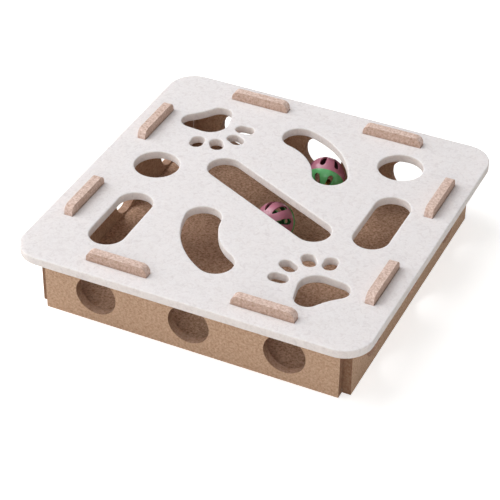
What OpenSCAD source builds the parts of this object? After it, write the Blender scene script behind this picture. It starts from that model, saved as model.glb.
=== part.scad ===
// Cat puzzle box: a low square tray of brown board under a thick felt top.
// The felt presses down over eight tabs on the walls. Cats reach through the
// openings in the felt and the round ports in the walls for three rattle balls.
// Millimetres, +Z up, +X right and -Y front. The origin is on the table, under the middle.

/* [Felt top] */
// Width of the square felt top
panel_w = 250; // [235:1:290]
// Corner radius of the felt top
panel_r = 20; // [8:1:40]
// Thickness of the felt
felt_t = 6.5; // [4:0.5:10]
// Height of the felt's upper face above the table
top_h = 50; // [47:1:70]
// How far the felt overhangs each wall's outer face
overhang = 13; // [8:0.5:18]

/* [Walls] */
// Board thickness of the four walls
wall_t = 6; // [4.5:0.5:9]
// Gap between a wall's end and its neighbour's inner face
end_gap = 0.02; // [0.02:0.01:1]
// Length of each tab along its wall
tab_len = 44; // [30:1:56]
// Distance between the middles of a wall's two tabs
tab_pitch = 104; // [70:1:130]
// How far the tabs stand proud of the felt
tab_rise = 6.3; // [4:0.1:10]
// Radius of the tabs' upper corners
tab_r = 5; // [2:0.5:7]
// Clearance on each side of a tab in its felt slot
tab_gap = 0.25; // [0.1:0.05:0.5]
// Diameter of the round ports in the walls
port_d = 29.5; // [20:0.5:31]
// Distance between neighbouring ports
port_pitch = 68; // [40:1:80]

/* [Floor] */
// Thickness of the floor board
floor_t = 3; // [2:0.5:4]
// Height of the floor's underside above the table
floor_lift = 3; // [2:0.5:4]
// Length of the tongue on each floor edge
tongue_len = 180; // [100:2:190]
// How deep the tongues enter the walls
tongue_depth = 3; // [1.5:0.5:3.5]
// Clearance round the floor and its tongues
floor_gap = 0.2; // [0.1:0.05:0.5]

/* [Paw openings] */
// Diameter of the two round openings
round_d = 32; // [24:1:38]
// Width of the straight and bent slots
slot_w = 25; // [18:1:30]
// Overall length of the two upright slots
upright_len = 63; // [45:1:72]
// Overall length of the slanted slot
slant_len = 118.5; // [90:0.5:130]
// Direction of the slanted slot, degrees from +X
slant_turn = -25.5; // [-35:0.5:-15]
// Distance between the end centres of a bent slot
bent_span = 50; // [40:1:58]
// Bend radius of a bent slot's middle line
bent_r = 55; // [42:1:90]

/* [Paw prints] */
// Radius of a print's main pad
pad_r = 13.1; // [9:0.1:15]
// Radius of the two heel lobes
lobe_r = 8.75; // [6:0.25:10]
// Distance from the pad's middle to each lobe's middle
lobe_reach = 12.5; // [9:0.5:14]
// Angle between each lobe and the heel direction
lobe_turn = 57; // [40:1:70]
// Radius of the shallow dip between the lobes
dip_r = 60; // [20:1:120]
// Width of each toe hole
toe_w = 9.6; // [6:0.2:11]
// Length of each toe hole
toe_len = 14; // [12:0.5:16]
// Distance from the pad's middle to the two middle toes
toe_reach_mid = 29.4; // [27:0.2:33]
// Distance from the pad's middle to the two outer toes
toe_reach_side = 27; // [25:0.5:31]
// Angle between neighbouring toes
toe_step = 29; // [26:0.5:34]
// Direction of the toes of the front print, degrees from +X
print_turn = 139; // [125:1:150]

/* [Places of the openings] */
// Left round opening: distance in from the left wall
round_left_in = 22.2; // [18:0.1:30]
// Left round opening: distance behind the middle line
round_left_y = 5.7; // [-5:0.1:12]
// Right round opening: distances in from the right and back walls
round_right_in = [35.3, 29]; // [20:0.1:45]
// Left upright slot: distances in from the left and front walls
upright_left_in = [30.5, 44.7]; // [20:0.1:55]
// Right upright slot: distance in from the right wall
upright_right_in = 22.4; // [18:0.1:30]
// Right upright slot: distance behind the middle line
upright_right_y = 10.5; // [0:0.1:15]
// Middle of the slanted slot
slant_at = [3.3, 2.4]; // [-5:0.1:8]
// Middle of the front bent slot's chord
front_bent_at = [-12, -56.8]; // [-65:0.1:0]
// Direction of the front bent slot's chord, degrees from +X
front_bent_turn = 125.6; // [115:0.1:135]
// Middle of the back bent slot's chord
back_bent_at = [11.1, 63.7]; // [0:0.1:70]
// Direction of the back bent slot's chord, degrees from +X
back_bent_turn = -41.5; // [-55:0.5:-30]
// Front paw print: distances in from the right and front walls
front_print_in = [32.9, 32.8]; // [28:0.1:40]
// Back paw print: distances in from the left and back walls
back_print_in = [31.7, 35]; // [28:0.1:40]

/* [Balls] */
// Outside diameter of each rattle ball
ball_d = 28; // [25:0.5:32]
// Wall thickness of the ball halves
ball_wall = 1.4; // [1:0.1:2]
// How far the seam lies from the ball's middle
seam_drop = 2.8; // [1.5:0.1:3.5]
// Height of the snap lip above the seam
lip_h = 1.2; // [0.8:0.1:2]
// Thickness of the snap lip
lip_t = 0.55; // [0.4:0.05:0.7]
// Depth of the snap lip's root below the seam
lip_root = 0.6; // [0.4:0.1:1]
// Clearance round the snap lip
lip_gap = 0.1; // [0.05:0.05:0.2]
// Number of slots round the upper half
upper_slots = 8; // [5:1:9]
// Number of slots round the lower half
lower_slots = 7; // [5:1:8]
// Radius of the round ends of the slots
rib_slot_r = 2.1; // [1.2:0.1:2.3]
// Latitudes of the upper half's slots, at the round end's middle and at the tip
upper_slot_lat = [9.5, 54]; // [9:0.5:58]
// Latitudes of the lower half's slots, at the round end's middle and at the tip
lower_slot_lat = [35, 72]; // [32:1:74]
// Diameter of the hole at each pole
pole_hole_d = 3.2; // [1.5:0.1:4]
// Running gap under each ball
ball_gap = 0.3; // [0.2:0.05:0.6]

/* [Places of the balls] */
// First ball: distance from the middle line, and in from the back wall
ball_1_at = [11.7, 22.1]; // [10:0.1:30]
// Second ball: place from the middle of the box
ball_2_at = [2.3, 17.2]; // [0:0.1:25]
// Third ball: distance from the middle line, and in from the front wall
ball_3_at = [26, 18]; // [17:0.5:30]
// First ball's pole: tilt from upright, compass direction and spin
ball_1_turn = [68, 101, -98]; // [-180:1:180]
// Second ball's pole: tilt from upright, compass direction and spin
ball_2_turn = [64, -107, 24]; // [-180:1:180]
// Third ball's pole: tilt from upright, compass direction and spin
ball_3_turn = [35, 20, 0]; // [-180:1:180]

/* [Bells] */
// Outside diameter of each bell
bell_d = 10; // [8:0.5:12]
// Sheet thickness of the bell
bell_wall = 0.5; // [0.4:0.1:0.8]
// Width of the crimped rim round the bell's middle
rim_w = 0.6; // [0.4:0.1:1]
// How far the rim stands out
rim_out = 0.3; // [0.2:0.1:0.5]
// Width of the crossed sound slots
sound_slot_w = 1.2; // [0.8:0.1:1.6]
// Wire diameter of the bell's loop
loop_wire = 0.9; // [0.6:0.1:1.2]
// Radius of the loop's middle line
loop_r = 1.4; // [1.2:0.1:2]
// Diameter of the loose pellet
pellet_d = 3; // [2:0.1:4]
// Gap between loose pieces in a ball
rattle_gap = 0.3; // [0.2:0.05:0.5]

/* [Hidden] */
$fn = 96;

felt_white = "#E8E4E5";
board_brown = "#AC8E76";
floor_brown = "#A08068";
pink = "#C869A5";
green = "#4BCD64";
brass = "#C9A24A";
steel = "#B8BCC2";

// Extra length of a cut past the face that it opens
past = 1;
// Steps in each arc of the bent slots and the prints' pads, and of the balls' slots
arc_steps = 36;
slot_steps = 8;
wall_out = panel_w / 2 - overhang;
wall_in = wall_out - wall_t;
wall_len = 2 * (wall_in - end_gap);
wall_h = top_h - felt_t;
tab_h = felt_t + tab_rise;
port_z = wall_h / 2;
floor_top = floor_lift + floor_t;

ball_r = ball_d / 2;
ball_bore = ball_r - ball_wall;
ball_z = floor_top + ball_gap + ball_r;
ball_at = [
    [ball_1_at.x, wall_in - ball_1_at.y, ball_z],
    [ball_2_at.x, ball_2_at.y, ball_z],
    [ball_3_at.x, ball_3_at.y - wall_in, ball_z]
];
ball_turn = [ball_1_turn, ball_2_turn, ball_3_turn];
// The lip is the inner part of the wall, a hair outside the ball's inner sphere
lip_in = ball_bore - lip_gap / 2;
lip_out = lip_in + lip_t;
bell_r = bell_d / 2;
bell_drop = ball_bore - bell_r - rattle_gap;
pellet_drop = bell_r - bell_wall - pellet_d / 2 - rattle_gap;

// Flat outlines

module stadium(len, wid) {
    run = len - wid;
    square([run, wid], center = true);
    for (side = [-1, 1]) translate([side * run / 2, 0]) circle(d = wid);
}

// Points of an arc about a place, from one angle to another
function arc(at, r, from, to, steps) =
    [for (k = [0 : steps]) let (turn = from + k * (to - from) / steps) at + r * [cos(turn), sin(turn)]];

// A round end of radius r at the middle, drawn out in half an ellipse to a tip at [len, 0]
module drop(len, r, steps) {
    polygon(concat(
        arc([0, 0], r, 90, 270, steps),
        [for (k = [1 : 2 * steps - 1]) let (turn = 90 * (k / steps - 1)) [len * cos(turn), r * sin(turn)]]
    ));
}

// A slot bent along an arc, its chord along X and its outer side towards +Y.
// The round ends leave out their first and last points, which the long arcs hold.
module bent_slot(span, bend_r, wid) {
    half = asin(span / 2 / bend_r);
    end = bend_r * [sin(half), cos(half)];
    step = 180 / arc_steps;
    translate([0, -end.y]) polygon(concat(
        arc([0, 0], bend_r + wid / 2, 90 - half, 90 + half, arc_steps),
        arc([-end.x, end.y], wid / 2, 90 + half + step, 270 + half - step, arc_steps - 2),
        arc([0, 0], bend_r - wid / 2, 90 + half, 90 - half, arc_steps),
        arc(end, wid / 2, 270 - half + step, 450 - half - step, arc_steps - 2)
    ));
}

// A print's main pad: a round front towards +X, two heel lobes and a shallow dip between them
module paw_pad() {
    lobe_dir = 180 - lobe_turn;
    lean = acos((pad_r - lobe_r) / lobe_reach);
    lobe = lobe_reach * [cos(lobe_dir), sin(lobe_dir)];
    half = asin(lobe.y / (lobe_r + dip_r));
    dip = [lobe.x - (lobe_r + dip_r) * cos(half), 0];
    step = half / arc_steps;
    polygon(concat(
        arc([0, 0], pad_r, lean - lobe_dir, lobe_dir - lean, arc_steps),
        arc(lobe, lobe_r, lobe_dir - lean, 180 + half, arc_steps),
        arc(dip, dip_r, half - step, step - half, arc_steps),
        arc([lobe.x, -lobe.y], lobe_r, 180 - half, 360 + lean - lobe_dir, arc_steps)
    ));
}

// One paw print, its toes towards +X
module paw_print() {
    paw_pad();
    for (side = [-1, 1]) {
        rotate(side * toe_step / 2) translate([toe_reach_mid, 0]) stadium(toe_len, toe_w);
        rotate(side * (toe_step / 2 + toe_step)) translate([toe_reach_side, 0]) stadium(toe_len, toe_w);
    }
}

module rounded_panel() {
    square([panel_w - 2 * panel_r, panel_w], center = true);
    square([panel_w, panel_w - 2 * panel_r], center = true);
    for (x = [-1, 1], y = [-1, 1])
        translate([x, y] * (panel_w / 2 - panel_r)) circle(r = panel_r);
}

module paw_openings() {
    translate([round_left_in - wall_in, round_left_y]) circle(d = round_d);
    translate([wall_in, wall_in] - round_right_in) circle(d = round_d);
    translate(upright_left_in - [wall_in, wall_in]) rotate(90) stadium(upright_len, slot_w);
    translate([wall_in - upright_right_in, upright_right_y]) rotate(90) stadium(upright_len, slot_w);
    translate(slant_at) rotate(slant_turn) stadium(slant_len, slot_w);
    translate(front_bent_at) rotate(front_bent_turn) bent_slot(bent_span, bent_r, slot_w);
    translate(back_bent_at) rotate(back_bent_turn) bent_slot(bent_span, bent_r, slot_w);
    translate([wall_in - front_print_in.x, front_print_in.y - wall_in]) rotate(print_turn) paw_print();
    translate([back_print_in.x - wall_in, wall_in - back_print_in.y]) rotate(print_turn + 180) paw_print();
}

module tab_slots() {
    for (turn = [0 : 90 : 270], side = [-1, 1])
        rotate(turn) translate([side * tab_pitch / 2, -(wall_in + wall_out) / 2])
            square([tab_len + 2 * tab_gap, wall_t + 2 * tab_gap], center = true);
}

// The top and the tray

module felt_top() {
    color(felt_white) translate([0, 0, wall_h]) linear_extrude(felt_t) difference() {
        rounded_panel();
        paw_openings();
        tab_slots();
    }
}

// A tab's outline, its root sunk into the wall by its corner radius
module tab_outline() {
    translate([-tab_len / 2, -tab_r]) square([tab_len, tab_h]);
    translate([tab_r - tab_len / 2, -tab_r]) square([tab_len - 2 * tab_r, tab_h + tab_r]);
    for (side = [-1, 1]) translate([side * (tab_len / 2 - tab_r), tab_h - tab_r]) circle(r = tab_r);
}

module wall_outline() {
    difference() {
        union() {
            translate([-wall_len / 2, 0]) square([wall_len, wall_h]);
            for (side = [-1, 1]) translate([side * tab_pitch / 2, wall_h]) tab_outline();
        }
        for (step = [-1 : 1]) translate([step * port_pitch, port_z]) circle(d = port_d);
    }
}

// The front wall, turned about Z for the other three
module wall(turn) {
    color(board_brown) rotate(turn) difference() {
        translate([0, -wall_in, 0]) rotate([90, 0, 0]) linear_extrude(wall_t) wall_outline();
        translate([-tongue_len / 2 - floor_gap, -wall_in - tongue_depth - floor_gap, floor_lift])
            cube([tongue_len + 2 * floor_gap, tongue_depth + floor_gap + past, floor_t + floor_gap]);
    }
}

module front_wall() { wall(0); }
module right_wall() { wall(90); }
module back_wall() { wall(180); }
module left_wall() { wall(270); }

module floor_panel() {
    color(floor_brown) translate([0, 0, floor_lift]) linear_extrude(floor_t) {
        square(2 * (wall_in - floor_gap), center = true);
        for (turn = [0 : 90 : 270]) rotate(turn)
            translate([-tongue_len / 2, -wall_in - tongue_depth]) square([tongue_len, tongue_depth + past]);
    }
}

// The balls

// Puts a ball's own frame, its upper pole along +Z, at its place and turn
module ball_frame(i) {
    translate(ball_at[i]) rotate([0, ball_turn[i].x, ball_turn[i].y]) rotate(ball_turn[i].z) children();
}

// Half of a ball's wall in section, between two heights and outside the pole hole
module wall_section(low, high) {
    intersection() {
        difference() {
            circle(r = ball_r);
            circle(r = ball_bore);
        }
        translate([pole_hole_d / 2, low]) square([ball_r, high - low]);
    }
}

// Slots from a round end near the seam to a tip near the upper pole
module rib_cuts(lat, count) {
    middle = (lat[0] + lat[1]) / 2;
    run = 2 * ball_r * sin((lat[1] - lat[0]) / 2);
    for (i = [0 : count - 1])
        rotate([0, -middle, i * 360 / count]) translate([ball_r / 2, 0, -run / 2]) rotate([0, -90, 180])
            linear_extrude(ball_r) drop(run, rib_slot_r, slot_steps);
}

module pink_half(i) {
    color(pink) ball_frame(i) difference() {
        rotate_extrude() difference() {
            wall_section(-seam_drop, ball_r);
            translate([0, -seam_drop - past]) square([lip_out + lip_gap, past + lip_h + lip_gap]);
        }
        rib_cuts(upper_slot_lat, upper_slots);
    }
}

module green_half(i) {
    color(green) ball_frame(i) difference() {
        rotate_extrude() {
            wall_section(-ball_r, -seam_drop);
            translate([lip_in, -seam_drop - lip_root]) square([lip_t, lip_root + lip_h]);
        }
        mirror([0, 0, 1]) rib_cuts(lower_slot_lat, lower_slots);
    }
}

// The loose bell lies at the bottom of its ball
module bell_frame(i) {
    translate(ball_at[i] - [0, 0, bell_drop]) children();
}

module bell_shell(i) {
    color(brass) bell_frame(i) difference() {
        union() {
            sphere(r = bell_r);
            cylinder(r = bell_r + rim_out, h = rim_w, center = true);
        }
        sphere(r = bell_r - bell_wall);
        for (turn = [0, 90]) rotate(turn) translate([0, 0, -bell_r])
            cube([bell_d, sound_slot_w, bell_r], center = true);
    }
}

module bell_loop(i) {
    color(brass) bell_frame(i) difference() {
        translate([0, 0, bell_r + loop_r / 2]) rotate([90, 0, 0]) rotate_extrude()
            translate([loop_r, 0]) circle(d = loop_wire, $fn = 32);
        sphere(r = bell_r);
    }
}

module bell_pellet(i) {
    color(steel) bell_frame(i) translate([0, 0, -pellet_drop]) sphere(d = pellet_d);
}

felt_top();
floor_panel();
front_wall();
back_wall();
left_wall();
right_wall();
pink_half(0);  // ball_1_pink_half
green_half(0);  // ball_1_green_half
bell_shell(0);  // bell_1_shell
bell_loop(0);  // bell_1_loop
bell_pellet(0);  // bell_1_pellet
pink_half(1);  // ball_2_pink_half
green_half(1);  // ball_2_green_half
bell_shell(1);  // bell_2_shell
bell_loop(1);  // bell_2_loop
bell_pellet(1);  // bell_2_pellet
pink_half(2);  // ball_3_pink_half
green_half(2);  // ball_3_green_half
bell_shell(2);  // bell_3_shell
bell_loop(2);  // bell_3_loop
bell_pellet(2);  // bell_3_pellet
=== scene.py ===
import math

import bmesh
import bpy
from mathutils import Matrix, Vector, noise


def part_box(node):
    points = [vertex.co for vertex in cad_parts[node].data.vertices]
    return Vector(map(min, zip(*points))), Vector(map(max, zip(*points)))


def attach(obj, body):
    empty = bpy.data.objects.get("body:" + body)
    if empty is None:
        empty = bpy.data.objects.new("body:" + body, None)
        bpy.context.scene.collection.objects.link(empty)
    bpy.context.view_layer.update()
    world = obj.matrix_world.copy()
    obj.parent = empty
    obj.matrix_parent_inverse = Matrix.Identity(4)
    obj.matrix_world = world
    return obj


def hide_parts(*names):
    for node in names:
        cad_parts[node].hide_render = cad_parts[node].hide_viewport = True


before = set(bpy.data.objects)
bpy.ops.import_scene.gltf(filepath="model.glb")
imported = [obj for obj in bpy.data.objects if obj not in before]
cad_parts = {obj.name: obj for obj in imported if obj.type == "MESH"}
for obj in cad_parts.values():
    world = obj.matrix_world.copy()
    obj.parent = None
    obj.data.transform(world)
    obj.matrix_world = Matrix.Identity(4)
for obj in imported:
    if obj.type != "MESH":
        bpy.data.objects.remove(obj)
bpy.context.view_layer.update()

bl_info = {
    "name": "Cat puzzle box",
    "version": (1, 0, 0),
    "blender": (4, 5, 0),
    "location": "3D View > Sidebar > Puzzle box",
    "description": "Dresses a felt-topped cat puzzle box and its rattle balls around their solid model",
    "category": "Object",
}

MM = 0.001
# Corners of the solid model closer than this are one point
MERGE = 0.001 * MM
# A face whose normal has at least this much of an axis faces along it
SQUARE_ON = 0.99
# A face of a ball that leans at least this much towards the ball's middle is on the inside
INWARD = 0.5
# Neighbouring triangles that turn less than this lie in one cut wall
FLAT = math.radians(1)
# Edges of the solid model that turn more than this are sharp
SHARP = math.radians(35)
QUARTER = math.pi / 2
# Steps in the round of a felt rim, and cuts across the wall between two rims
RIM_STEPS = 4
WALL_CUTS = 3
# Shares of its light that the plastic keeps where the moulding has sunk, and the painted shade on the
# inside of a ball
SUNK_LIGHT = 0.86
INSIDE_PAINTED_SHADE = 0.25
# The solid model's boards, and the axis that each one's pressed faces look along
BOARDS = {"front_wall": 1, "back_wall": 1, "left_wall": 0, "right_wall": 0, "floor_panel": 2}
BALLS = (1, 2, 3)
# The face attribute that is 1 on the inside of a ball's halves, where the plastic takes its painted shade
INSIDE = "inside"


def linear(code):
    """An sRGB hex colour as linear red, green and blue."""
    parts = [int(code[i : i + 2], 16) / 255 for i in (1, 3, 5)]
    return tuple(c / 12.92 if c <= 0.04045 else ((c + 0.055) / 1.055) ** 2.4 for c in parts)


def rgba(colour):
    return (*colour, 1.0)


def darker(colour, share):
    """A linear colour with only this share of its light."""
    return tuple(c * share for c in colour)


def pitch(size):
    """The texture scale that repeats a feature of this size, in metres."""
    return 1 / size


def colour_setting(name, description, code):
    return bpy.props.FloatVectorProperty(
        name=name, description=description, subtype="COLOR", size=3, min=0, max=1, default=linear(code)
    )


def length_setting(name, description, millimetres):
    return bpy.props.FloatProperty(
        name=name, description=description, unit="LENGTH", min=0, precision=5, default=millimetres * MM
    )


def angle_setting(name, description, degrees):
    return bpy.props.FloatProperty(
        name=name, description=description, subtype="ANGLE", default=math.radians(degrees)
    )


class FeltSettings(bpy.types.PropertyGroup):
    """The felt top's shape and finish."""

    edge_round: length_setting("Edge rounding", "Radius of the softened cut edges", 0.8)
    edge_waver: length_setting("Edge waver", "How far the knife cut wanders", 0.1)
    waver_size: length_setting("Waver size", "Spacing of the wander along a cut", 3)
    hollow: length_setting("Hollows", "Depth of the slow hollows in the upper face", 0.15)
    hollow_size: length_setting("Hollow size", "Width of the slow hollows", 28)
    mesh_step: length_setting("Mesh step", "Spacing of the mesh on the flat faces", 5)
    cut_area: bpy.props.FloatProperty(
        name="Cut area", description="Area of the felt left round its openings", unit="AREA",
        default=0.0464,
    )
    colour: colour_setting("Colour", "Colour of the felt's faces", "#F1EDED")
    side: colour_setting("Cut", "Colour of the cut sides, where the matted core shows", "#EDE6E2")
    shade: colour_setting("Shade", "Tint of the needle marks and of the gaps between fibres", "#EBE8E8")
    mark: length_setting("Needle marks", "Spacing of the grey marks that the needles leave", 3.4)
    fibre: length_setting("Fibre", "Spacing of the matted fibres as drawn", 0.9)
    fibre_depth: length_setting("Fibre depth", "Depth of the matted fibres as drawn", 0.12)
    scatter: length_setting("Scatter", "How far light spreads among the fibres", 4)


class BoardSettings(bpy.types.PropertyGroup):
    """The fibreboard's finish."""

    edge_round: length_setting("Edge rounding", "Radius of the sanded edges", 0.06)
    colour: colour_setting("Wall face", "Colour of the walls' pressed faces", "#D1B196")
    inside: colour_setting("Floor face", "Colour of the floor's pressed faces", "#DDB99F")
    # Partly the sawn fibre's own darker colour, partly painted shade for the notches at the corners and the
    # bores
    cut: colour_setting("Sawn edge", "Colour of the upright sawn ends and bores", "#997860")
    # Painted light: sawn faces that look up are drawn paler, as light from above falls on them
    sawn_ledge_painted_light: colour_setting("Sawn ledge", "Colour of the sawn faces that look up", "#CFAE98")
    # Painted light: the tabs above the felt are drawn paler, for the white felt's bounce and the light from
    # above
    tab_painted_light: colour_setting("Worn tab", "Colour of the tabs' upper edges, rubbed pale", "#EFD9CF")
    tab_face_painted_light: colour_setting("Worn tab face", "Colour of the tabs' pressed faces, rubbed pale", "#DAC0B2")
    tab_light_from: length_setting("Worn from", "Height above the table where the rubbed part starts", 46)
    tab_light_fade: length_setting("Worn fade", "Height over which the rubbed part fades in", 3)
    fleck: colour_setting("Wall flecks", "Tint of the walls' dark bark flecks", "#C8B4A5")
    floor_fleck: colour_setting("Floor flecks", "Tint of the floor's dark bark flecks", "#A58E7C")
    pale: colour_setting("Pale fibres", "Colour of the pale fibres", "#DCC4B0")
    fleck_size: length_setting("Fleck size", "Width of the flecks", 1.6)
    fibre: length_setting("Fibre", "Spacing of the pressed fibres", 0.6)
    fibre_depth: length_setting("Fibre depth", "Depth of the pressed fibres", 0.08)


class BallSettings(bpy.types.PropertyGroup):
    """The rattle balls' and bells' finish."""

    edge_round: length_setting("Edge rounding", "Radius of the moulded slot edges", 0.18)
    pink: colour_setting("Pink", "Colour of the upper halves", "#CC849A")
    green: colour_setting("Green", "Colour of the lower halves", "#72CE84")
    ripple: length_setting("Ripple", "Width of the faint ripples in the moulding", 4)
    ripple_depth: length_setting("Ripple depth", "Depth of the faint ripples", 0.1)
    scatter: length_setting("Scatter", "How far light spreads in the plastic", 1.2)
    brass: colour_setting("Brass", "Colour of the bells", "#A8864A")
    steel: colour_setting("Steel", "Colour of the pellets", "#B9BDC3")
    scratch: length_setting("Scratches", "Spacing of the rubbed marks on the metal", 0.4)


class StageSettings(bpy.types.PropertyGroup):
    """The camera, the lights and the floor."""

    azimuth: angle_setting("Azimuth", "Camera angle round the box", 24.918)
    elevation: angle_setting("Elevation", "Camera angle above the table", 36.906)
    roll: angle_setting("Roll", "Camera turn about its own axis", 0.699)
    distance: length_setting("Distance", "Camera distance from its target", 1258.5)
    target: bpy.props.FloatVectorProperty(
        name="Target", description="Point on the table that the camera looks at", subtype="TRANSLATION",
        size=3, default=(-10.70 * MM, 4.27 * MM, 0),
    )
    lens: bpy.props.FloatProperty(
        name="Lens", description="Focal length of the camera", unit="CAMERA", default=129.36
    )
    floor: colour_setting("Floor", "Colour of the floor", "#F2F1EF")
    floor_width: length_setting("Floor width", "Width of the floor", 2600)
    floor_glow: bpy.props.FloatProperty(
        name="Floor glow", description="White added to the floor as the camera sees it", default=0.6
    )
    sky: bpy.props.FloatProperty(
        name="Sky", description="Strength of the even light from all round", default=0.2
    )


def add_node(tree, kind, inputs=None, **settings):
    """Adds a shader node. Inputs map a socket to a value, or to the output that feeds it."""
    node = tree.nodes.new(kind)
    for name, value in settings.items():
        setattr(node, name, value)
    for socket, value in (inputs or {}).items():
        if isinstance(value, bpy.types.NodeSocket):
            tree.links.new(value, node.inputs[socket])
        else:
            node.inputs[socket].default_value = value
    return node


def new_material(name):
    """An empty node material, and its tree."""
    material = bpy.data.materials.new(name)
    material.use_nodes = True
    material.node_tree.nodes.clear()
    return material, material.node_tree


def needle_felt(settings):
    """Needle-punched polyester felt, cut with a knife. Matted fibres lie every way, so it has no weave: the
    eye sees a soft, quite matt white, short grey marks where the needles went in, and cuts that glow a
    little as light spreads among the fibres."""
    material, tree = new_material("needle_felt_white")
    coords = add_node(tree, "ShaderNodeTexCoord")
    at = coords.outputs["Object"]
    # Real fibres are about 0.02 mm thick; they are drawn coarser, as the clumps that still show
    fibre = add_node(
        tree, "ShaderNodeTexNoise",
        {"Vector": at, "Scale": pitch(settings.fibre), "Detail": 4.0, "Roughness": 0.65, "Distortion": 1.6},
    )
    mark = add_node(
        tree, "ShaderNodeTexNoise",
        {"Vector": at, "Scale": pitch(settings.mark), "Detail": 3.0, "Roughness": 0.6, "Distortion": 1.2},
    )
    marked = add_node(
        tree, "ShaderNodeMapRange",
        {"Value": mark.outputs["Fac"], "From Min": 0.4, "From Max": 0.75},
    )
    matted = add_node(
        tree, "ShaderNodeMapRange",
        {"Value": fibre.outputs["Fac"], "From Min": 0.4, "From Max": 0.8, "To Max": 0.8},
    )
    grey = add_node(
        tree, "ShaderNodeMath", {0: marked.outputs[0], 1: matted.outputs[0]}, operation="MAXIMUM"
    )
    facing = add_node(tree, "ShaderNodeSeparateXYZ", {"Vector": coords.outputs["Normal"]})
    level = add_node(tree, "ShaderNodeMath", {0: facing.outputs["Z"]}, operation="ABSOLUTE")
    face = add_node(
        tree, "ShaderNodeMix", {0: level.outputs[0], 6: rgba(settings.side), 7: rgba(settings.colour)},
        data_type="RGBA",
    )
    colour = add_node(
        tree, "ShaderNodeMix", {0: grey.outputs[0], 6: face.outputs[2], 7: rgba(settings.shade)},
        data_type="RGBA", blend_type="MULTIPLY",
    )
    bump = add_node(
        tree, "ShaderNodeBump",
        {"Strength": 0.5, "Distance": settings.fibre_depth, "Height": fibre.outputs["Fac"]},
    )
    shader = add_node(
        tree, "ShaderNodeBsdfPrincipled",
        {
            "Base Color": colour.outputs[2],
            "Roughness": 0.95,
            "Specular IOR Level": 0.15,
            "Sheen Weight": 0.1,
            "Sheen Roughness": 0.6,
            "Subsurface Weight": 0.6,
            "Subsurface Radius": (1.0, 0.95, 0.9),
            "Subsurface Scale": settings.scatter,
            "Normal": bump.outputs[0],
        },
    )
    add_node(tree, "ShaderNodeOutputMaterial", {"Surface": shader.outputs[0]})
    return material


def fibreboard(settings, name, axis, face, tint):
    """Medium-density fibreboard, pressed smooth on its two faces and sawn at its edges. The faces are matt
    brown with dark bark flecks and pale fibres. The sawn ends are darker, partly the open fibres' own
    colour and partly painted shade for the notches and bores; where they look up they are painted paler, a
    painted light from above. The tabs above the felt are painted paler as well, painted light from the
    felt's bounce and from above."""
    material, tree = new_material(name)
    coords = add_node(tree, "ShaderNodeTexCoord")
    at = coords.outputs["Object"]
    fleck = add_node(
        tree, "ShaderNodeTexNoise",
        {
            "Vector": at,
            "Scale": pitch(settings.fleck_size),
            "Detail": 5.0,
            "Roughness": 0.6,
            "Distortion": 0.4,
        },
    )
    fibre = add_node(
        tree, "ShaderNodeTexNoise",
        {"Vector": at, "Scale": pitch(settings.fibre), "Detail": 5.0, "Roughness": 0.75, "Distortion": 0.6},
    )
    dark = add_node(
        tree, "ShaderNodeMapRange", {"Value": fleck.outputs["Fac"], "From Min": 0.33, "From Max": 0.71}
    )
    pale = add_node(
        tree, "ShaderNodeMapRange",
        {"Value": fibre.outputs["Fac"], "From Min": 0.5, "From Max": 0.75, "To Max": 0.4},
    )
    facing = add_node(tree, "ShaderNodeSeparateXYZ", {"Vector": coords.outputs["Normal"]})
    square_on = add_node(tree, "ShaderNodeMath", {0: facing.outputs[axis]}, operation="ABSOLUTE")
    pressed = add_node(
        tree, "ShaderNodeMapRange", {"Value": square_on.outputs[0], "From Min": 0.7, "From Max": 0.95}
    )
    height = add_node(tree, "ShaderNodeSeparateXYZ", {"Vector": at})
    # Painted light: above this height the tabs take the paler colours
    tab_painted_light = add_node(
        tree, "ShaderNodeMapRange",
        {
            "Value": height.outputs["Z"],
            "From Min": settings.tab_light_from,
            "From Max": settings.tab_light_from + settings.tab_light_fade,
        },
    )
    # Painted light and shade: sawn faces that look up take the paler colour, the others the darker one
    sawn = add_node(
        tree, "ShaderNodeMix",
        {0: facing.outputs["Z"], 6: rgba(settings.cut), 7: rgba(settings.sawn_ledge_painted_light)}, data_type="RGBA",
    )
    plain = add_node(
        tree, "ShaderNodeMix", {0: pressed.outputs[0], 6: sawn.outputs[2], 7: rgba(face)}, data_type="RGBA"
    )
    # The tabs' painted light, paler on their sawn tops than on their faces
    rubbed = add_node(
        tree, "ShaderNodeMix",
        {0: pressed.outputs[0], 6: rgba(settings.tab_painted_light), 7: rgba(settings.tab_face_painted_light)}, data_type="RGBA",
    )
    base = add_node(
        tree, "ShaderNodeMix", {0: tab_painted_light.outputs[0], 6: plain.outputs[2], 7: rubbed.outputs[2]},
        data_type="RGBA",
    )
    flecked = add_node(
        tree, "ShaderNodeMix", {0: dark.outputs[0], 6: base.outputs[2], 7: rgba(tint)},
        data_type="RGBA", blend_type="MULTIPLY",
    )
    light = add_node(
        tree, "ShaderNodeMath", {0: pale.outputs[0], 1: pressed.outputs[0]}, operation="MULTIPLY"
    )
    colour = add_node(
        tree, "ShaderNodeMix", {0: light.outputs[0], 6: flecked.outputs[2], 7: rgba(settings.pale)},
        data_type="RGBA",
    )
    bump = add_node(
        tree, "ShaderNodeBump",
        {"Strength": 0.6, "Distance": settings.fibre_depth, "Height": fibre.outputs["Fac"]},
    )
    shader = add_node(
        tree, "ShaderNodeBsdfPrincipled",
        {
            "Base Color": colour.outputs[2],
            "Roughness": 0.82,
            "Specular IOR Level": 0.25,
            "Normal": bump.outputs[0],
        },
    )
    add_node(tree, "ShaderNodeOutputMaterial", {"Surface": shader.outputs[0]})
    return material


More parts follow.
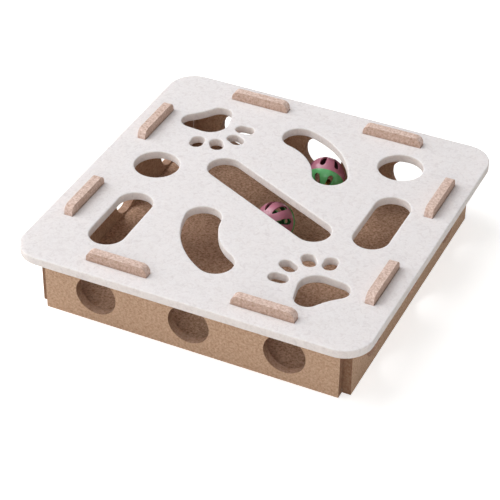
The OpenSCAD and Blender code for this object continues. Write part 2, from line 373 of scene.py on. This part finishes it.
def gloss_plastic(settings, name, colour):
    """Injection-moulded polypropylene from a polished mould. It is bright and even in colour, with sharp
    highlights that waver a little where the moulding has sunk. The inside is painted much darker, a painted
    shade, for little light gets in and the slots look dark."""
    material, tree = new_material(name)
    at = add_node(tree, "ShaderNodeTexCoord").outputs["Object"]
    ripple = add_node(
        tree, "ShaderNodeTexNoise", {"Vector": at, "Scale": pitch(settings.ripple), "Detail": 2.0}
    )
    rough = add_node(
        tree, "ShaderNodeMapRange", {"Value": ripple.outputs["Fac"], "To Min": 0.14, "To Max": 0.26}
    )
    sunk = rgba(darker(colour, SUNK_LIGHT))
    outer = add_node(
        tree, "ShaderNodeMix", {0: ripple.outputs["Fac"], 6: sunk, 7: rgba(colour)}, data_type="RGBA"
    )
    # Painted shade: the faces on the inside of a ball take a much darker colour
    inside = add_node(tree, "ShaderNodeAttribute", attribute_name=INSIDE)
    painted_inside_shade = rgba(darker(colour, INSIDE_PAINTED_SHADE))
    tone = add_node(
        tree, "ShaderNodeMix", {0: inside.outputs["Fac"], 6: outer.outputs[2], 7: painted_inside_shade}, data_type="RGBA"
    )
    bump = add_node(
        tree, "ShaderNodeBump",
        {"Strength": 0.25, "Distance": settings.ripple_depth, "Height": ripple.outputs["Fac"]},
    )
    shader = add_node(
        tree, "ShaderNodeBsdfPrincipled",
        {
            "Base Color": tone.outputs[2],
            "Roughness": rough.outputs[0],
            "IOR": 1.49,
            "Subsurface Weight": 0.3,
            "Subsurface Radius": (1.0, 0.8, 0.8),
            "Subsurface Scale": settings.scatter,
            "Normal": bump.outputs[0],
        },
    )
    add_node(tree, "ShaderNodeOutputMaterial", {"Surface": shader.outputs[0]})
    return material


def rubbed_metal(settings, name, colour, rough_low, rough_high):
    """Pressed sheet brass, or a rolled steel pellet, that has rattled about. It mirrors its surroundings
    through fine rubbed marks."""
    material, tree = new_material(name)
    at = add_node(tree, "ShaderNodeTexCoord").outputs["Object"]
    marks = add_node(
        tree, "ShaderNodeTexNoise", {"Vector": at, "Scale": pitch(settings.scratch), "Detail": 3.0}
    )
    rough = add_node(
        tree, "ShaderNodeMapRange",
        {
            "Value": marks.outputs["Fac"],
            "From Min": 0.3,
            "From Max": 0.7,
            "To Min": rough_low,
            "To Max": rough_high,
        },
    )
    shader = add_node(
        tree, "ShaderNodeBsdfPrincipled",
        {"Base Color": rgba(colour), "Metallic": 1.0, "Roughness": rough.outputs[0]},
    )
    add_node(tree, "ShaderNodeOutputMaterial", {"Surface": shader.outputs[0]})
    return material


def dress(node, material, edge_round=0.0):
    """Gives a node of the solid model its material, and rounds its sharp edges where a radius is given."""
    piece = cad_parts[node]
    piece.data.materials.clear()
    piece.data.materials.append(material)
    if edge_round:
        weld = piece.modifiers.new("Joined corners", "WELD")
        weld.merge_threshold = MERGE
        bevel = piece.modifiers.new("Rounded edges", "BEVEL")
        bevel.limit_method = "ANGLE"
        bevel.angle_limit = SHARP
        bevel.width = edge_round
        bevel.segments = 2
        bevel.profile = 0.5
        weighted = piece.modifiers.new("Flat faces", "WEIGHTED_NORMAL")
        weighted.weight = 100
    return piece


def level_faces(bm):
    return [f for f in bm.faces if abs(f.normal.z) > SQUARE_ON]


def round_rim(bm, edges, radius, up):
    """Carries the rims in these edges inwards in a quarter round, up for 1 and down for -1. Returns the
    last rims' edges."""
    into = {}
    for vert in dict.fromkeys(v for e in edges for v in e.verts):
        normals = [f.normal for f in vert.link_faces]
        mean = sum(normals, Vector()).normalized()
        # At a corner the way in is longer, so that the rim keeps its distance from both cut walls
        into[vert] = -mean / mean.dot(normals[0])
    for step in range(RIM_STEPS):
        old = QUARTER * step / RIM_STEPS
        new = QUARTER * (step + 1) / RIM_STEPS
        inward = radius * (math.cos(old) - math.cos(new))
        rise = radius * (math.sin(new) - math.sin(old))
        made = bmesh.ops.extrude_edge_only(bm, edges=edges)["geom"]
        above = {}
        for vert in (g for g in made if isinstance(g, bmesh.types.BMVert)):
            below = next(e.other_vert(vert) for e in vert.link_edges if e.other_vert(vert) in into)
            above[vert] = into[below]
            vert.co += above[vert] * inward + Vector((0, 0, rise * up))
        edges = [g for g in made if isinstance(g, bmesh.types.BMEdge) and all(v in above for v in g.verts)]
        into = above
    return edges


class PUZZLEBOX_OT_felt_top(bpy.types.Operator):
    """Model the thick felt from the cut walls of its solid: rounded rims, then both faces filled again"""

    bl_idname = "puzzlebox.felt_top"
    bl_label = "Felt top"

    def execute(self, context):
        settings = context.scene.puzzlebox_felt
        low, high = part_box("felt_top")
        bm = bmesh.new()
        bm.from_mesh(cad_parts["felt_top"].data)
        bmesh.ops.remove_doubles(bm, verts=bm.verts, dist=MERGE)
        bmesh.ops.delete(bm, geom=level_faces(bm), context="FACES")
        bmesh.ops.join_triangles(
            bm, faces=bm.faces, angle_face_threshold=FLAT, angle_shape_threshold=math.pi
        )
        self.split_long_cuts(bm, settings.mesh_step)
        rims = [e for e in bm.edges if e.is_boundary]
        upright = [e for e in bm.edges if not e.is_boundary]
        middle = (low.z + high.z) / 2
        for vert in bm.verts:
            vert.co.z += settings.edge_round if vert.co.z < middle else -settings.edge_round
        top = [e for e in rims if e.verts[0].co.z > middle]
        bottom = [e for e in rims if e not in set(top)]
        top = round_rim(bm, top, settings.edge_round, 1)
        bottom = round_rim(bm, bottom, settings.edge_round, -1)
        bmesh.ops.subdivide_edges(bm, edges=upright, cuts=WALL_CUTS, use_grid_fill=True)
        bmesh.ops.triangle_fill(bm, use_beauty=True, edges=top, normal=(0, 0, 1))
        bmesh.ops.triangle_fill(bm, use_beauty=True, edges=bottom, normal=(0, 0, -1))
        bmesh.ops.recalc_face_normals(bm, faces=bm.faces)
        self.cut_grid(bm, low, high, settings.mesh_step)
        self.waver(bm, low, high, settings)
        mesh = bpy.data.meshes.new("felt_top_cut")
        bm.to_mesh(mesh)
        bm.free()
        mesh.polygons.foreach_set("use_smooth", [True] * len(mesh.polygons))
        mesh.materials.append(needle_felt(settings))
        felt = bpy.data.objects.new("felt_top_cut", mesh)
        context.scene.collection.objects.link(felt)
        weighted = felt.modifiers.new("Flat faces", "WEIGHTED_NORMAL")
        weighted.weight = 80
        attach(felt, "top")
        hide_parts("felt_top")
        return {"FINISHED"}

    def split_long_cuts(self, bm, step):
        """Divides the straight cuts into even short lengths."""
        groups = {}
        for edge in bm.edges:
            if edge.is_boundary:
                groups.setdefault(round(edge.calc_length() / step) - 1, []).append(edge)
        for cuts, edges in groups.items():
            if cuts > 0:
                bmesh.ops.subdivide_edges(bm, edges=edges, cuts=cuts, use_grid_fill=True)

    def cut_grid(self, bm, low, high, step):
        """Cuts the level faces into cells, so that they can swell and sink."""
        for axis in (0, 1):
            normal = Vector((1 - axis, axis, 0))
            count = round((high[axis] - low[axis]) / step)
            for line in range(1, count):
                place = normal * (low[axis] + (high[axis] - low[axis]) * line / count)
                faces = level_faces(bm)
                edges = dict.fromkeys(e for f in faces for e in f.edges)
                verts = dict.fromkeys(v for f in faces for v in f.verts)
                bmesh.ops.bisect_plane(
                    bm, geom=[*verts, *edges, *faces], dist=MERGE, plane_co=place, plane_no=normal
                )

    def waver(self, bm, low, high, settings):
        """Lets the cut walls wander a little, and the upper face sink in slow hollows."""
        bm.normal_update()
        for vert in bm.verts:
            side = Vector((vert.normal.x, vert.normal.y, 0))
            up = (vert.co.z - low.z) / (high.z - low.z)
            wander = noise.noise(vert.co / settings.waver_size) * settings.edge_waver
            sink = (noise.noise(vert.co / settings.hollow_size) - 1) / 2 * settings.hollow
            vert.co += side * wander + Vector((0, 0, sink * up))


class PUZZLEBOX_OT_boards(bpy.types.Operator):
    """Finish the four walls and the floor as plain fibreboard"""

    bl_idname = "puzzlebox.boards"
    bl_label = "Walls and floor"

    def execute(self, context):
        settings = context.scene.puzzlebox_boards
        finishes = {
            0: fibreboard(settings, "fibreboard_side_walls", 0, settings.colour, settings.fleck),
            1: fibreboard(settings, "fibreboard_front_and_back", 1, settings.colour, settings.fleck),
            2: fibreboard(settings, "fibreboard_floor", 2, settings.inside, settings.floor_fleck),
        }
        for node, axis in BOARDS.items():
            dress(node, finishes[axis], settings.edge_round)
        return {"FINISHED"}


class PUZZLEBOX_OT_balls(bpy.types.Operator):
    """Finish the rattle balls' two halves as glossy moulded plastic"""

    bl_idname = "puzzlebox.balls"
    bl_label = "Rattle balls"

    def execute(self, context):
        settings = context.scene.puzzlebox_balls
        pink = gloss_plastic(settings, "moulded_polypropylene_pink", settings.pink)
        green = gloss_plastic(settings, "moulded_polypropylene_green", settings.green)
        for ball in BALLS:
            halves = {f"ball_{ball}_pink_half": pink, f"ball_{ball}_green_half": green}
            corners = [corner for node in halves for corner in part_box(node)]
            middle = Vector((min(axis) + max(axis)) / 2 for axis in zip(*corners))
            for node, plastic in halves.items():
                piece = dress(node, plastic, settings.edge_round)
                # The inside faces are marked for the plastic's painted shade
                self.mark_inside(piece.data, middle)
        return {"FINISHED"}

    def mark_inside(self, mesh, middle):
        """Marks the faces that look towards the ball's middle."""
        inside = mesh.attributes.new(INSIDE, "FLOAT", "FACE")
        for face in mesh.polygons:
            inward = face.normal.dot((middle - face.center).normalized())
            inside.data[face.index].value = float(inward > INWARD)


class PUZZLEBOX_OT_bells(bpy.types.Operator):
    """Finish the bells, their loops and their pellets as rubbed metal"""

    bl_idname = "puzzlebox.bells"
    bl_label = "Bells"

    def execute(self, context):
        settings = context.scene.puzzlebox_balls
        brass = rubbed_metal(settings, "pressed_brass", settings.brass, 0.18, 0.4)
        steel = rubbed_metal(settings, "rolled_steel", settings.steel, 0.2, 0.35)
        for ball in BALLS:
            dress(f"bell_{ball}_shell", brass)
            dress(f"bell_{ball}_loop", brass)
            dress(f"bell_{ball}_pellet", steel)
        return {"FINISHED"}


# Softboxes: compass and height in degrees, measured as the camera's angles are, then distance and width in
# metres, and power in watts
LAMPS = {
    "high_key_softbox": (-100, 62, 3.0, 2.6, 37.5),
    "low_key_softbox": (-78, 36, 3.0, 3.2, 60.0),
    "front_softbox": (12, 24, 3.0, 2.4, 26.0),
    "side_softbox": (95, 10, 3.0, 2.0, 12.0),
}


def direction(azimuth, elevation):
    """The way from the box to something at these angles."""
    return Vector(
        (
            math.sin(azimuth) * math.cos(elevation),
            -math.cos(azimuth) * math.cos(elevation),
            math.sin(elevation),
        )
    )


class PUZZLEBOX_OT_stage(bpy.types.Operator):
    """Set up the floor, the white surroundings, the lamps and the camera"""

    bl_idname = "puzzlebox.stage"
    bl_label = "Stage"

    def execute(self, context):
        settings = context.scene.puzzlebox_stage
        self.make_floor(context, settings)
        self.make_world(context, settings)
        for name, lamp in LAMPS.items():
            self.make_lamp(context, name, *lamp)
        self.make_camera(context, settings)
        context.scene.view_settings.view_transform = "Standard"
        return {"FINISHED"}

    def seen_rays(self, tree):
        """1 for rays that show a surface to the camera, directly, in a reflection or through glass."""
        path = add_node(tree, "ShaderNodeLightPath")
        direct = add_node(
            tree, "ShaderNodeMath",
            {0: path.outputs["Is Camera Ray"], 1: path.outputs["Is Glossy Ray"]}, operation="MAXIMUM",
        )
        return add_node(
            tree, "ShaderNodeMath",
            {0: direct.outputs[0], 1: path.outputs["Is Transmission Ray"]}, operation="MAXIMUM",
        ).outputs[0]

    def make_floor(self, context, settings):
        bm = bmesh.new()
        bmesh.ops.create_grid(bm, x_segments=1, y_segments=1, size=settings.floor_width / 2)
        mesh = bpy.data.meshes.new("floor")
        bm.to_mesh(mesh)
        bm.free()
        material, tree = new_material("matt_paper_white")
        glow = add_node(
            tree, "ShaderNodeMath", {0: self.seen_rays(tree), 1: settings.floor_glow}, operation="MULTIPLY"
        )
        paper = add_node(tree, "ShaderNodeBsdfDiffuse", {"Color": rgba(settings.floor)})
        light = add_node(tree, "ShaderNodeEmission", {"Strength": glow.outputs[0]})
        both = add_node(tree, "ShaderNodeAddShader", {0: paper.outputs[0], 1: light.outputs[0]})
        add_node(tree, "ShaderNodeOutputMaterial", {"Surface": both.outputs[0]})
        mesh.materials.append(material)
        floor = bpy.data.objects.new("floor", mesh)
        context.scene.collection.objects.link(floor)

    def make_world(self, context, settings):
        world = bpy.data.worlds.new("white_surroundings")
        world.use_nodes = True
        tree = world.node_tree
        tree.nodes.clear()
        strength = add_node(
            tree, "ShaderNodeMapRange",
            {"Value": self.seen_rays(tree), "To Min": settings.sky, "To Max": 1.0},
        )
        white = rgba(linear("#FFFFFF"))
        sky = add_node(tree, "ShaderNodeBackground", {"Color": white, "Strength": strength.outputs[0]})
        add_node(tree, "ShaderNodeOutputWorld", {"Surface": sky.outputs[0]})
        context.scene.world = world

    def make_lamp(self, context, name, azimuth, elevation, distance, width, power):
        light = bpy.data.lights.new(name, "AREA")
        light.shape = "DISK"
        light.size = width
        light.energy = power
        lamp = bpy.data.objects.new(name, light)
        away = direction(math.radians(azimuth), math.radians(elevation))
        lamp.location = away * distance
        lamp.rotation_euler = away.to_track_quat("Z", "Y").to_euler()
        context.scene.collection.objects.link(lamp)

    def make_camera(self, context, settings):
        back = direction(settings.azimuth, settings.elevation)
        right = Vector((math.cos(settings.azimuth), math.sin(settings.azimuth), 0))
        turn = Matrix((right, back.cross(right), back)).transposed().to_4x4()
        turn = turn @ Matrix.Rotation(settings.roll, 4, "Z")
        data = bpy.data.cameras.new("camera")
        data.sensor_width = 36
        data.lens = settings.lens
        data.clip_start = 0.05
        data.clip_end = 50
        camera = bpy.data.objects.new("camera", data)
        camera.matrix_world = Matrix.Translation(Vector(settings.target) + back * settings.distance) @ turn
        context.scene.collection.objects.link(camera)
        context.scene.camera = camera


class PUZZLEBOX_PT_sidebar(bpy.types.Panel):
    """Lists the pieces of the puzzle box and their settings"""

    bl_idname = "PUZZLEBOX_PT_sidebar"
    bl_label = "Puzzle box"
    bl_space_type = "VIEW_3D"
    bl_region_type = "UI"
    bl_category = "Puzzle box"

    def draw(self, context):
        for operator, settings in STEPS:
            box = self.layout.box()
            box.operator(operator.bl_idname)
            group = getattr(context.scene, settings)
            for name in group.bl_rna.properties.keys():
                if name not in ("name", "rna_type"):
                    box.prop(group, name)


SETTINGS = {
    "puzzlebox_felt": FeltSettings,
    "puzzlebox_boards": BoardSettings,
    "puzzlebox_balls": BallSettings,
    "puzzlebox_stage": StageSettings,
}
STEPS = (
    (PUZZLEBOX_OT_stage, "puzzlebox_stage"),
    (PUZZLEBOX_OT_felt_top, "puzzlebox_felt"),
    (PUZZLEBOX_OT_boards, "puzzlebox_boards"),
    (PUZZLEBOX_OT_balls, "puzzlebox_balls"),
    (PUZZLEBOX_OT_bells, "puzzlebox_balls"),
)
CLASSES = (*SETTINGS.values(), *(operator for operator, _ in STEPS), PUZZLEBOX_PT_sidebar)


def register():
    for cls in CLASSES:
        bpy.utils.register_class(cls)
    for name, group in SETTINGS.items():
        setattr(bpy.types.Scene, name, bpy.props.PointerProperty(type=group))


def unregister():
    for name in SETTINGS:
        delattr(bpy.types.Scene, name)
    for cls in reversed(CLASSES):
        bpy.utils.unregister_class(cls)


def main():
    register()
    bpy.ops.puzzlebox.stage()
    bpy.ops.puzzlebox.felt_top()
    bpy.ops.puzzlebox.boards()
    bpy.ops.puzzlebox.balls()
    bpy.ops.puzzlebox.bells()


if __name__ == "__main__":
    main()
